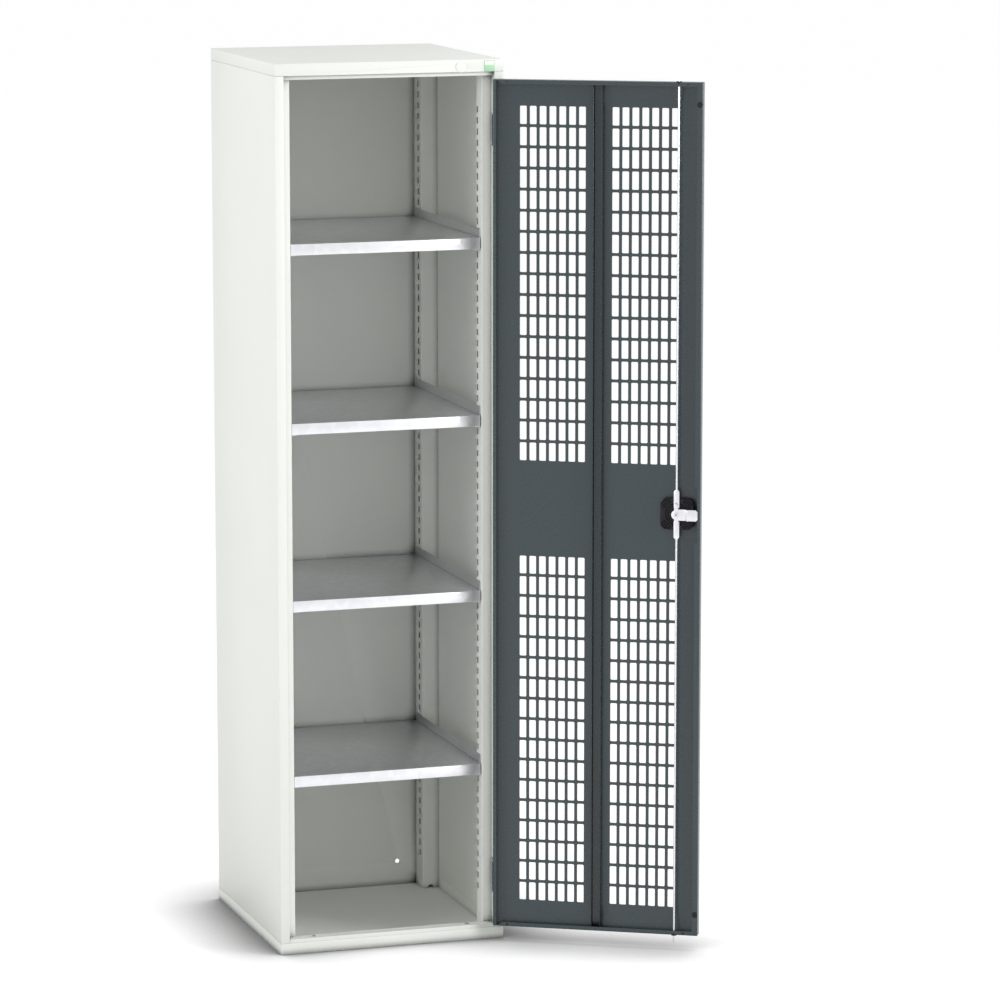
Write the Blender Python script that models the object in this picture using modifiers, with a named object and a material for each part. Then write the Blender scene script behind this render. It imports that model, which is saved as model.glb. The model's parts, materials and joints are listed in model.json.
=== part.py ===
"""Ventilated storage cabinet: a folded sheet-steel locker with one perforated door.

The cabinet stands on z = 0 with its front towards -Y. The origin is the centre of the
base's underside. The door is modelled closed and hangs from an empty on its hinge pins,
which holds it open.
"""

import math

import bmesh
import bpy
from mathutils import Matrix, Vector

# Overall size and sheet, in metres.
WIDTH = 0.525
DEPTH = 0.550
HEIGHT = 2.000
SHEET = 0.0012
GAP = 0.0003
CUT_OVER = 0.004
JOIN_OVER = 0.0006

# Carcass: trays, side panels, rails and back panel.
CAP_H = 0.027
PLINTH_H = 0.0257
STILE_W = 0.020
SIDE_REAR_FLANGE = 0.015
REBATE_DEPTH = 0.0285
SILL_TOP = 0.034
TOP_RAIL_DROP = 0.036
TOP_RAIL_SETBACK = 0.010
TOP_RAIL_REAR_WALL = 0.020
BACK_HOLE_R = 0.005
BACK_HOLE_SIDE = 0.087
BACK_HOLE_Z = 0.058

# Perforated posts.
POST_INSET = 0.041
FRONT_POST_DEPTH = 0.0425
REAR_POST_DEPTH = 0.057
SLOT_W = 0.011
SLOT_H = 0.0146
SLOT_PITCH = 0.025
SLOT_FIRST = 0.078
SLOT_HEADROOM = 0.085
FRONT_SLOT_Y = 0.062
REAR_SLOT_BACK = 0.038
FOOT_NOTCH_R = 0.0075

# Shelves and the hook-in brackets that carry them.
SHELF_COUNT = 4
SHELF_EDGE = 0.025
SHELF_ABOVE_SLOT = 0.022
SHELF_FRONT = 0.035
SHELF_BACK_CLEAR = 0.009
BRACKET_CLEAR = 0.0002
BRACKET_UP = 0.020
BRACKET_LEDGE = 0.014
BRACKET_FRONT = 0.040
BRACKET_BACK_CLEAR = 0.015
TAB_SIDE_CLEAR = 0.0004
TAB_H = 0.012
TAB_REACH = 0.006
TAB_DROP = 0.003

# Door pan, with its vent slots, lips and holes.
DOOR_OPEN_DEG = 150.0
DOOR_SIDE_GAP = 0.007
DOOR_BOTTOM_GAP = 0.0023
DOOR_TOP_GAP = 0.0063
DOOR_SET_BACK = 0.0015
DOOR_DEPTH = 0.024
END_LIP = 0.0095
HINGE_LIP = 0.0083
LATCH_LIP = 0.0126
NOTCH_H = 0.126
NOTCH_D = 0.0057
VENT_COLUMNS = 7
VENT_ROWS = 17
VENT_SIDE = 0.05725
VENT_END = 0.059
VENT_BAR_W = 0.00697
VENT_BAR_H = 0.00665
VENT_MIDDLE_W = 0.06006
VENT_MIDDLE_H = 0.217
LIP_HOLE_R = 0.0023
LIP_HOLE_SIDE = 0.033
STIFFENER_W = 0.0205
STIFFENER_H = 0.016

# Hinges.
HINGE_H = 0.068
HINGE_END = 0.113
PIN_FORWARD = 0.0015
PIN_R = 0.0015
PIN_FIT = 0.00008
PIN_HEAD_R = 0.0024
PIN_HEAD_H = 0.001
KNUCKLE_R = 0.003
KNUCKLE_COUNT = 3
LEAF_T = 0.0015
LEAF_REACH = 0.024

# Espagnolette lock: dish, handle, key plug, housing, spindle and cam.
HUB_EDGE = 0.0542
DISH_R = 0.0307
DISH_FLANGE_R = 0.036
DISH_FLANGE_T = 0.001
DISH_DEPTH = 0.011
HOUSING_W = 0.0745
HOUSING_H = 0.070
HOUSING_TOP = 0.016
HOUSING_CORNER = 0.014
HANDLE_LENGTH = 0.050
HANDLE_W = 0.014
HANDLE_PROUD = 0.001
HANDLE_BASE_R = 0.013
HANDLE_BASE_T = 0.0022
KEY_R = 0.005
KEY_FIT = 0.0001
KEY_DEPTH = 0.0072
KEYWAY_W = 0.0012
KEYWAY_L = 0.0065
KEYWAY_D = 0.004
SPINDLE_R = 0.004
CAM_LEVEL = 0.023
CAM_T = 0.002
CAM_R = 0.011
CAM_ARM_W = 0.009
CAM_PIN_RADIUS = 0.020
CAM_PIN_R = 0.003
CAM_PIN_CLEAR = 0.0004
TONGUE_H = 0.025
TONGUE_LENGTH = 0.0492
TONGUE_JOGGLE = 0.0228
TONGUE_RISE_RUN = 0.003
TONGUE_LEVEL = 0.0293
TONGUE_NOSE = 0.004
SCREW_R = 0.002
SCREW_HEAD_R = 0.0042
SCREW_HEAD_H = 0.0026
SCREW_DEPTH = 0.010

# Lock rods, their guide bushes and the holes that they shoot into.
ROD_R = 0.0025
ROD_FIT = 0.0001
ROD_LEVEL = 0.019
ROD_PROUD = 0.0203
ROD_TIP = 0.0015
ROD_TAPER = 0.009
ROD_HOLE_R = 0.0058
FLAT_START = 0.013
FLAT_END = 0.056
FLAT_W = 0.0123
FLAT_T = 0.002
FLAT_CORNER = 0.003
GUIDE_R = 0.0063
GUIDE_NECK_R = 0.005
GUIDE_NECK = 0.003
GUIDE_FLANGE = 0.0012
STRIKE_MARGIN = 0.003
STRIKE_DEPTH = 0.0045

# Bump stops on the door, and the trim on the fascia.
STOP_R = 0.0062
STOP_T = 0.0023
STOP_STEM_R = 0.0017
STOP_STEM = 0.0025
STOP_END = 0.049
BLANK_R = 0.01225
BLANK_T = 0.0005
BLANK_STEM_R = 0.0077
BLANK_STEM = 0.003
BLANK_SIDE = 0.0986
BLANK_DROP = 0.0155
LABEL_W = 0.024
LABEL_T = 0.0004
LABEL_SIDE = 0.021
LABEL_DROP = 0.0025

# Numbers of segments on round pieces, and the half that a direction or profile is set by.
FINE = 32
ROUND = 20
COARSE = 12
HALF_SHARE = 0.5

# Sizes that follow from the ones above. Cabinet coordinates run from the left side,
# from the front plane and from the floor.
DOOR_W = WIDTH - (STILE_W + DOOR_SIDE_GAP) * 2
DOOR_Z0 = SILL_TOP + DOOR_BOTTOM_GAP
DOOR_Z1 = HEIGHT - TOP_RAIL_DROP - DOOR_TOP_GAP
DOOR_MID = (DOOR_Z0 + DOOR_Z1) / 2
VENT_FIELD_W = (DOOR_W - VENT_MIDDLE_W) / 2 - VENT_SIDE
VENT_FIELD_H = (DOOR_Z1 - DOOR_Z0 - VENT_MIDDLE_H) / 2 - VENT_END
VENT_PITCH_S = (VENT_FIELD_W + VENT_BAR_W) / VENT_COLUMNS
VENT_PITCH_Z = (VENT_FIELD_H + VENT_BAR_H) / VENT_ROWS
VENT_W = VENT_PITCH_S - VENT_BAR_W
VENT_H = VENT_PITCH_Z - VENT_BAR_H
EDGE_GAP = DOOR_SIDE_GAP / 2
PIVOT_X = WIDTH - STILE_W - EDGE_GAP
SKIN_Y = PIN_FORWARD + DOOR_SET_BACK
HUB_S = DOOR_W - HUB_EDGE
HUB_X = STILE_W + DOOR_SIDE_GAP + HUB_EDGE
INNER_SIDE = SHEET + GAP
BACK_PANEL_Y = DEPTH - SHEET - GAP - SHEET
POST_REAR_Y = BACK_PANEL_Y - GAP
REAR_SLOT_Y = DEPTH - REAR_SLOT_BACK
TAB_W = SLOT_W - TAB_SIDE_CLEAR * 2
BRACKET_X = POST_INSET + BRACKET_CLEAR
SHELF_X = BRACKET_X + SHEET + GAP
LEAF_X1 = EDGE_GAP - GAP
LEAF_X0 = LEAF_X1 - LEAF_T
HANDLE_BACK = DISH_DEPTH - SHEET - GAP
STRIKE_Y = REBATE_DEPTH + SHEET

# Looks of each slot: base colour, metallic and roughness.
MATERIALS = {
    "carcass_paint": ((0.80, 0.80, 0.76), 0.0, 0.45),
    "door_paint": ((0.045, 0.055, 0.060), 0.0, 0.45),
    "zinc_sheet": ((0.62, 0.63, 0.66), 0.9, 0.35),
    "zinc_steel": ((0.55, 0.55, 0.56), 1.0, 0.35),
    "black_plastic": ((0.015, 0.015, 0.016), 0.0, 0.5),
    "black_rubber": ((0.018, 0.019, 0.020), 0.0, 0.8),
    "label_green": ((0.40, 0.66, 0.44), 0.0, 0.5),
}


def start_scene():
    """Empty the file and make the two collections."""
    for obj in list(bpy.data.objects):
        bpy.data.objects.remove(obj, do_unlink=True)
    made = []
    for name in ("ventilated_storage_cabinet", "cutters"):
        collection = bpy.data.collections.new(name)
        bpy.context.scene.collection.children.link(collection)
        made.append(collection)
    return made


PARTS, CUTTERS = start_scene()


def material_for(node, slot):
    """Return a new Principled material for one node."""
    colour, metallic, roughness = MATERIALS[slot]
    material = bpy.data.materials.new(node + "_" + slot)
    material.use_nodes = True
    shader = material.node_tree.nodes["Principled BSDF"]
    shader.inputs["Base Color"].default_value = (*colour, 1.0)
    shader.inputs["Metallic"].default_value = metallic
    shader.inputs["Roughness"].default_value = roughness
    material.diffuse_color = (*colour, 1.0)
    return material


def add_object(name, bm, slot=None, parent=None, location=(0, 0, 0)):
    """Put a bmesh into the scene as a part, or as a cutter where it has no slot."""
    mesh = bpy.data.meshes.new(name)
    bm.to_mesh(mesh)
    bm.free()
    obj = bpy.data.objects.new(name, mesh)
    obj.location = location
    obj.parent = parent
    if slot is None:
        CUTTERS.objects.link(obj)
        obj.hide_render = True
        obj.display_type = "WIRE"
    else:
        PARTS.objects.link(obj)
        mesh.materials.append(material_for(name, slot))
    return obj


def add_empty(name, location, parent=None, turn=0.0):
    """Add an empty that stands on a joint's axis."""
    empty = bpy.data.objects.new(name, None)
    empty.location = location
    empty.rotation_euler = (0, 0, turn)
    empty.parent = parent
    PARTS.objects.link(empty)
    return empty


def place(x, y, z=0.0):
    """Turn cabinet coordinates into the part's frame."""
    return Vector((x - WIDTH / 2, y - DEPTH / 2, z))


def put_box(bm, low, high):
    """Add a box between two corners."""
    low, high = Vector(low), Vector(high)
    size = high - low
    matrix = Matrix.Translation((low + high) / 2) @ Matrix.Diagonal((*size, 1.0))
    return bmesh.ops.create_cube(bm, size=1.0, matrix=matrix)["verts"]


def put_cylinder(bm, centre, radius, length, axis="Z", segments=ROUND):
    """Add a capped cylinder, centred on a point."""
    turns = {"X": Matrix.Rotation(math.pi / 2, 4, "Y"),
             "Y": Matrix.Rotation(math.pi / 2, 4, "X"),
             "Z": Matrix.Identity(4)}
    bmesh.ops.create_cone(bm, cap_ends=True, segments=segments, radius1=radius, radius2=radius,
                          depth=length, matrix=Matrix.Translation(centre) @ turns[axis])


def boxes(name, corner_pairs, slot=None, parent=None, location=(0, 0, 0)):
    """Make one object of boxes."""
    bm = bmesh.new()
    for low, high in corner_pairs:
        put_box(bm, low, high)
    return add_object(name, bm, slot, parent, location)


def cylinders(name, centres, radius, length, axis="Z", parent=None, location=(0, 0, 0),
              segments=ROUND):
    """Make one cutter of equal cylinders."""
    bm = bmesh.new()
    for centre in centres:
        put_cylinder(bm, centre, radius, length, axis, segments)
    return add_object(name, bm, None, parent, location)


def boolean(obj, other, operation="DIFFERENCE"):
    """Cut or join an object with another one."""
    modifier = obj.modifiers.new(operation.title(), "BOOLEAN")
    modifier.operation = operation
    modifier.solver = "EXACT"
    modifier.object = other


def thicken(obj, thickness):
    """Give an open surface its sheet thickness, on its back."""
    modifier = obj.modifiers.new("Sheet", "SOLIDIFY")
    modifier.thickness = thickness
    modifier.offset = -1.0
    modifier.use_even_offset = True


def fold(name, path, start, length, slot, location=(0, 0, 0), parent=None, along="Z"):
    """Fold a sheet along a path: its metal lies on the left of the path.

    The path is in the plane across the fold lines: (x, y) along Z, or (y, z) along X.
    """
    bm = bmesh.new()
    row = [bm.verts.new((x, y, start)) for x, y in path]
    edges = [bm.edges.new(pair) for pair in zip(row, row[1:])]
    made = bmesh.ops.extrude_edge_only(bm, edges=edges)["geom"]
    raised = [item for item in made if isinstance(item, bmesh.types.BMVert)]
    bmesh.ops.translate(bm, verts=raised, vec=(0, 0, length))
    bm.normal_update()
    outward = (row[1].co - row[0].co).cross(Vector((0, 0, 1)))
    if edges[0].link_faces[0].normal.dot(outward) < 0:
        bmesh.ops.reverse_faces(bm, faces=bm.faces[:])
    if along == "X":
        cycle = Matrix(((0, 0, 1, 0), (1, 0, 0, 0), (0, 1, 0, 0), (0, 0, 0, 1)))
        bmesh.ops.transform(bm, matrix=cycle, verts=bm.verts[:])
    obj = add_object(name, bm, slot, parent, location)
    thicken(obj, SHEET)
    return obj


def pan(name, low, high, open_axis, slot, parent=None):
    """Make a folded pan: a box without the side that faces open_axis."""
    bm = bmesh.new()
    put_box(bm, low, high)
    bm.normal_update()
    lid = [face for face in bm.faces if face.normal.dot(Vector(open_axis)) > HALF_SHARE]
    bmesh.ops.delete(bm, geom=lid, context="FACES_ONLY")
    obj = add_object(name, bm, slot, parent)
    thicken(obj, SHEET)
    return obj


def turned(name, profile, slot, parent=None, location=(0, 0, 0), turn=(0, 0, 0), closed=False,
           segments=ROUND):
    """Turn a (radius, height) profile about Z. Its outer side runs downwards."""
    bm = bmesh.new()
    row = [bm.verts.new((radius, 0, height)) for radius, height in profile]
    for pair in zip(row, row[1:]):
        bm.edges.new(pair)
    if closed:
        bm.edges.new((row[-1], row[0]))
    obj = add_object(name, bm, slot, parent, location)
    obj.rotation_euler = turn
    screw = obj.modifiers.new("Turn", "SCREW")
    screw.angle = math.tau
    screw.steps = segments
    screw.render_steps = segments
    screw.use_merge_vertices = True
    screw.merge_threshold = 0.00001
    screw.use_smooth_shade = False
    return obj


def smooth(obj):
    """Shade a round piece smooth, with sharp edges kept."""
    obj.data.shade_smooth()
    obj.data.set_sharp_from_angle(angle=math.radians(35))


def mirrored(path):
    """Return the right-hand path that mirrors a left-hand one."""
    return [(WIDTH - x, y) for x, y in reversed(path)]


ORIGIN = place(0, 0)
INWARD = (-math.pi / 2, 0, 0)


def build_trays():
    """Make the top and bottom trays and the trim on the fascia."""
    top = pan("top_tray", place(0, 0, HEIGHT - CAP_H), place(WIDTH, DEPTH, HEIGHT),
              (0, 0, -1), "carcass_paint")
    pan("bottom_tray", place(0, 0, 0), place(WIDTH, DEPTH, PLINTH_H), (0, 0, 1),
        "carcass_paint")
    blank_at = place(WIDTH - BLANK_SIDE, 0, HEIGHT - BLANK_DROP)
    hole_r = BLANK_STEM_R + GAP
    boolean(top, cylinders("cut_fascia", [blank_at], hole_r, CUT_OVER * 2, "Y"))
    profile = [(0, BLANK_STEM), (BLANK_STEM_R, BLANK_STEM), (BLANK_STEM_R, -GAP),
               (BLANK_R, -GAP), (BLANK_R, -GAP - BLANK_T), (0, -GAP - BLANK_T)]
    blank = turned("fascia_blank", profile, "carcass_paint", None, blank_at, INWARD)
    smooth(blank)
    x1 = WIDTH - LABEL_SIDE
    z1 = HEIGHT - LABEL_DROP
    boxes("fascia_label", [(place(x1 - LABEL_W, -GAP - LABEL_T, z1 - LABEL_W),
                            place(x1, -GAP, z1))], "label_green")


def build_sides():
    """Make the folded side panels, the back panel and the two rails."""
    bottom = PLINTH_H + GAP
    tall = HEIGHT - CAP_H - GAP - bottom
    return_y = REBATE_DEPTH - GAP
    path = [(SIDE_REAR_FLANGE, DEPTH), (0, DEPTH), (0, 0), (STILE_W, 0), (STILE_W, return_y)]
    fold("side_panel_left", path, bottom, tall, "carcass_paint", ORIGIN)
    fold("side_panel_right", mirrored(path), bottom, tall, "carcass_paint", ORIGIN)

    back = boxes("back_panel", [(place(INNER_SIDE, BACK_PANEL_Y, INNER_SIDE),
                                 place(WIDTH - INNER_SIDE, BACK_PANEL_Y + SHEET,
                                       HEIGHT - INNER_SIDE))], "carcass_paint")
    spots = [place(x, BACK_PANEL_Y, BACK_HOLE_Z) for x in (BACK_HOLE_SIDE, WIDTH - BACK_HOLE_SIDE)]
    boolean(back, cylinders("cut_back", spots, BACK_HOLE_R, CUT_OVER * 2, "Y"))

    left = STILE_W + GAP
    span = WIDTH - left * 2
    sill_path = [(INNER_SIDE, INNER_SIDE), (INNER_SIDE, SILL_TOP), (return_y, SILL_TOP),
                 (return_y, INNER_SIDE)]
    sill = fold("sill_rail", sill_path[::-1], left, span, "carcass_paint", ORIGIN, along="X")
    rail_z = HEIGHT - TOP_RAIL_DROP
    rail_path = [(TOP_RAIL_SETBACK, HEIGHT - INNER_SIDE), (TOP_RAIL_SETBACK, rail_z),
                 (return_y, rail_z), (return_y, rail_z + TOP_RAIL_REAR_WALL)]
    rail = fold("top_rail", rail_path, left, span, "carcass_paint", ORIGIN, along="X")
    rod_y = DOOR_SET_BACK + ROD_LEVEL
    for part, z in ((sill, SILL_TOP), (rail, rail_z)):
        spots = [place(x, rod_y, z) for x in (HUB_X, WIDTH - HUB_X)]
        boolean(part, cylinders("cut_" + part.name, spots, ROD_HOLE_R, CUT_OVER * 2))


def slot_levels(first):
    """Return the bottoms of a post's slots, from the given one up."""
    low = SLOT_FIRST + first * SLOT_PITCH
    room = HEIGHT - SLOT_HEADROOM - first * SLOT_PITCH - low
    return [low + index * SLOT_PITCH for index in range(int(room / SLOT_PITCH) + 1)]


def build_posts():
    """Make the four perforated posts."""
    tall = HEIGHT - INNER_SIDE * 2
    front_end = REBATE_DEPTH + FRONT_POST_DEPTH
    rows = (("front", REBATE_DEPTH, front_end, FRONT_SLOT_Y, 1),
            ("rear", POST_REAR_Y - REAR_POST_DEPTH, POST_REAR_Y, REAR_SLOT_Y, 0))
    for label, y0, y1, slot_y, first in rows:
        path = [(INNER_SIDE, y0), (POST_INSET, y0), (POST_INSET, y1), (INNER_SIDE, y1)]
        sides = (("left", path, POST_INSET, INNER_SIDE),
                 ("right", mirrored(path), WIDTH - POST_INSET, WIDTH - INNER_SIDE))
        for side, route, web, wall in sides:
            post = fold(f"post_{label}_{side}", route, INNER_SIDE, tall, "carcass_paint", ORIGIN)
            holes = [(place(web - CUT_OVER, slot_y - SLOT_W / 2, z),
                      place(web + CUT_OVER, slot_y + SLOT_W / 2, z + SLOT_H))
                     for z in slot_levels(first)]
            if (label, side) == ("front", "left"):
                reach = math.hypot(TONGUE_LENGTH, TONGUE_H / 2)
                sweep = math.sqrt(reach ** 2 - (HUB_X - POST_INSET) ** 2)
                z0 = DOOR_MID - sweep - STRIKE_MARGIN
                z1 = DOOR_MID + TONGUE_H / 2 + STRIKE_MARGIN
                holes.append((place(web - CUT_OVER, STRIKE_Y, z0),
                              place(web + CUT_OVER, STRIKE_Y + STRIKE_DEPTH, z1)))
            boolean(post, boxes(f"cut_post_{label}_{side}", holes))
            if label == "rear":
                foot = place((web + wall) / 2, y0, INNER_SIDE)
                boolean(post, cylinders(f"cut_foot_{side}", [foot], FOOT_NOTCH_R, CUT_OVER * 2,
                                        "Y"))


def shelf_slots():
    """Return the index of the slot that each shelf's brackets hook into."""
    step = HEIGHT / (SHELF_COUNT + 1)
    base = SLOT_FIRST + SHELF_ABOVE_SLOT
    return [round((step * (k + 1) - base) / SLOT_PITCH) for k in range(SHELF_COUNT)]


def tab_outline(web, out, low):
    """Return a hook tab's outline in (x, z), where out points into the post."""
    inner = web - out * (BRACKET_CLEAR + SHEET / 2)
    behind = web + out * (SHEET + GAP)
    tip = web + out * TAB_REACH
    return [(inner, low), (behind, low), (behind, low - TAB_DROP), (tip, low - TAB_DROP),
            (tip, low + TAB_H), (inner, low + TAB_H)]


def outline_prism(name, outline, y0, y1, slot=None, parent=None, location=(0, 0, 0)):
    """Extrude an (x, z) outline along Y, as a filled 2D curve turned into a mesh."""
    curve = bpy.data.curves.new(name, "CURVE")
    curve.dimensions = "2D"
    curve.fill_mode = "BOTH"
    curve.extrude = abs(y1 - y0) / 2
    spline = curve.splines.new("POLY")
    spline.points.add(len(outline) - 1)
    for point, (x, z) in zip(spline.points, outline):
        point.co = (x, z, 0, 1)
    spline.use_cyclic_u = True
    source = bpy.data.objects.new(name, curve)
    CUTTERS.objects.link(source)
    bpy.context.view_layer.update()
    graph = bpy.context.evaluated_depsgraph_get()
    mesh = bpy.data.meshes.new_from_object(source.evaluated_get(graph))
    bpy.data.objects.remove(source, do_unlink=True)
    bm = bmesh.new()
    bm.from_mesh(mesh)
    bpy.data.meshes.remove(mesh)
    bmesh.ops.remove_doubles(bm, verts=bm.verts[:], dist=0.00001)
    turn = Matrix.Translation((0, (y0 + y1) / 2, 0)) @ Matrix.Rotation(math.pi / 2, 4, "X")
    bmesh.ops.transform(bm, matrix=turn, verts=bm.verts[:])
    bmesh.ops.recalc_face_normals(bm, faces=bm.faces[:])
    return add_object(name, bm, slot, parent, location)


def build_shelves():
    """Make the shelves and the two brackets under each."""
    for number, index in enumerate(shelf_slots(), 1):
        slot_z = SLOT_FIRST + index * SLOT_PITCH
        top = slot_z + SHELF_ABOVE_SLOT
        pan(f"shelf_{number}", place(SHELF_X, SHELF_FRONT, top - SHELF_EDGE),
            place(WIDTH - SHELF_X, DEPTH - SHELF_BACK_CLEAR, top), (0, 0, -1), "zinc_sheet")
        ledge = top - SHELF_EDGE - GAP - SHEET
        y0 = BRACKET_FRONT
        y1 = DEPTH - BRACKET_BACK_CLEAR
        for side, web, out in (("left", POST_INSET, -1), ("right", WIDTH - POST_INSET, 1)):
            face = web - out * BRACKET_CLEAR
            path = [(face, top + BRACKET_UP), (face, ledge), (face - out * BRACKET_LEDGE, ledge)]
            if out > 0:
                path.reverse()
            name = f"bracket_{number}_{side}"
            bracket = bracket_fold(name, path, y0, y1)
            for row, (slot_y, low) in enumerate(((y, z + GAP) for y in (FRONT_SLOT_Y, REAR_SLOT_Y)
                                                 for z in (slot_z, slot_z + SLOT_PITCH))):
                tab = outline_prism(f"tab_{number}_{side}_{row}", tab_outline(web, out, low),
                                    slot_y - TAB_W / 2, slot_y + TAB_W / 2,
                                    location=ORIGIN)
                boolean(bracket, tab, "UNION")


def bracket_fold(name, path, y0, y1):
    """Fold an (x, z) path along Y. Its metal lies on the left of the path."""
    bm = bmesh.new()
    row = [bm.verts.new((x, y0, z)) for x, z in path]
    edges = [bm.edges.new(pair) for pair in zip(row, row[1:])]
    made = bmesh.ops.extrude_edge_only(bm, edges=edges)["geom"]
    moved = [item for item in made if isinstance(item, bmesh.types.BMVert)]
    bmesh.ops.translate(bm, verts=moved, vec=(0, y1 - y0, 0))
    bm.normal_update()
    outward = (row[1].co - row[0].co).cross(Vector((0, -1, 0)))
    if edges[0].link_faces[0].normal.dot(outward) < 0:
        bmesh.ops.reverse_faces(bm, faces=bm.faces[:])
    obj = add_object(name, bm, "zinc_steel", None, ORIGIN)
    thicken(obj, SHEET)
    return obj


def at(s, h, z):
    """Turn a door position into the hinge empty's frame.

    s runs from the hinge edge, h inwards from the skin's outer face.
    """
    return Vector((-EDGE_GAP - s, SKIN_Y + h, z))


def door_box(s0, s1, h0, h1, z0, z1):
    """Return a box's low and high corners in the hinge empty's frame."""
    return at(s1, h0, z0), at(s0, h1, z1)


def vent_boxes():
    """Return the cutters of the four vent fields."""
    found = []
    h0, h1 = -CUT_OVER, SHEET + CUT_OVER
    for column in range(VENT_COLUMNS):
        offset = VENT_SIDE + column * VENT_PITCH_S
        for s0 in (offset, DOOR_W - offset - VENT_W):
            for row in range(VENT_ROWS):
                rise = VENT_END + row * VENT_PITCH_Z
                for z0 in (DOOR_Z0 + rise, DOOR_Z1 - rise - VENT_H):
                    found.append(door_box(s0, s0 + VENT_W, h0, h1, z0, z0 + VENT_H))
    return found


def build_door(pivot):
    """Make the door pan and its centre stiffener."""
    door = boxes("door_panel", [door_box(0, DOOR_W, 0, DOOR_DEPTH, DOOR_Z0, DOOR_Z1)],
                 "door_paint", pivot)
    inner = DOOR_DEPTH - SHEET
    cavity = door_box(SHEET, DOOR_W - SHEET, SHEET, inner, DOOR_Z0 + SHEET, DOOR_Z1 - SHEET)
    boolean(door, boxes("cut_door_cavity", [cavity], parent=pivot))
    mouth = door_box(HINGE_LIP, DOOR_W - LATCH_LIP, inner / 2, DOOR_DEPTH + CUT_OVER,
                     DOOR_Z0 + END_LIP, DOOR_Z1 - END_LIP)
    boolean(door, boxes("cut_door_mouth", [mouth], parent=pivot))
    notch = door_box(DOOR_W - LATCH_LIP - CUT_OVER, DOOR_W - LATCH_LIP + NOTCH_D,
                     inner / 2, DOOR_DEPTH + CUT_OVER, DOOR_MID - NOTCH_H / 2,
                     DOOR_MID + NOTCH_H / 2)
    boolean(door, boxes("cut_door_notch", [notch], parent=pivot))
    boolean(door, boxes("cut_door_vents", vent_boxes(), parent=pivot))

    dish_hole = cylinders("cut_door_dish", [at(HUB_S, 0, DOOR_MID)], DISH_R + GAP, CUT_OVER * 2,
                          "Y", pivot, segments=FINE)
    boolean(door, dish_hole)
    guide_spots = [at(HUB_S, ROD_LEVEL, z) for z in (DOOR_Z0, DOOR_Z1)]
    boolean(door, cylinders("cut_door_guides", guide_spots, GUIDE_NECK_R + GAP, CUT_OVER * 2, "Z",
                            pivot))
    lip_s = (LIP_HOLE_SIDE, DOOR_W - LIP_HOLE_SIDE)
    lip_z = (DOOR_Z0 + END_LIP / 2, DOOR_Z1 - END_LIP / 2)
    lip_spots = [at(s, DOOR_DEPTH, z) for s in lip_s for z in lip_z]
    boolean(door, cylinders("cut_door_lips", lip_spots, LIP_HOLE_R, CUT_OVER * 2, "Y", pivot,
                            segments=COARSE))
    stop_spots = [at(stop_s(), DOOR_DEPTH, z) for z in stop_levels()]
    boolean(door, cylinders("cut_door_stops", stop_spots, STOP_STEM_R + GAP, CUT_OVER * 2, "Y",
                            pivot, segments=COARSE))

    middle = DOOR_W / 2
    foot = SHEET + GAP
    s0, s1 = middle - STIFFENER_W / 2, middle + STIFFENER_W / 2
    x0, x1 = at(s1, 0, 0).x, at(s0, 0, 0).x
    y0, y1 = SKIN_Y + foot, SKIN_Y + foot + STIFFENER_H
    path = [(x0, y1), (x0, y0), (x1, y0), (x1, y1)]
    z0 = DOOR_Z0 + foot
    fold("centre_stiffener", path, z0, DOOR_Z1 - foot - z0, "door_paint", parent=pivot)


def stop_s():
    """Return the bump stops' place across the door: the middle of the latch lip."""
    return DOOR_W - LATCH_LIP / 2


def stop_levels():
    """Return the bump stops' heights."""
    return (DOOR_Z0 + STOP_END, DOOR_Z1 - STOP_END)


def build_stops(pivot):
    """Make the two bump stops on the latch lip."""
    seat = GAP
    profile = [(0, seat + STOP_T), (STOP_R, seat + STOP_T), (STOP_R, seat),
               (STOP_STEM_R, seat), (STOP_STEM_R, -STOP_STEM), (0, -STOP_STEM)]
    for label, z in zip(("lower", "upper"), stop_levels()):
        stop = turned(f"bump_stop_{label}", profile, "black_rubber", pivot,
                      at(stop_s(), DOOR_DEPTH, z), INWARD, segments=COARSE)
        smooth(stop)


def leaf(name, side, middle_z, own, slot, parent, location):
    """Make a hinge leaf about its pin. side is +1 on the frame and -1 on the door."""
    bottom = middle_z - HINGE_H / 2
    tall = (HINGE_H - GAP * (KNUCKLE_COUNT - 1)) / KNUCKLE_COUNT
    start = KNUCKLE_R + GAP

    def across(y0, y1, z0, z1):
        x0, x1 = sorted((side * LEAF_X0, side * LEAF_X1))
        return (x0, y0, z0), (x1, y1, z1)

    plate = boxes(name, [across(start, LEAF_REACH + PIN_FORWARD, bottom, bottom + HINGE_H)],
                  slot, parent, location)
    lows = [bottom + index * (tall + GAP) for index in own]
    links = [across(0, start + JOIN_OVER, z, z + tall) for z in lows]
    boolean(plate, boxes(name + "_links", links, parent=parent, location=location), "UNION")
    centres = [(0, 0, z + tall / 2) for z in lows]
    boolean(plate, cylinders(name + "_knuckles", centres, KNUCKLE_R, tall, "Z", parent, location),
            "UNION")
    boolean(plate, cylinders(name + "_bore", [(0, 0, middle_z)], PIN_R + PIN_FIT,
                             HINGE_H + CUT_OVER, "Z", parent, location))
    return plate


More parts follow.
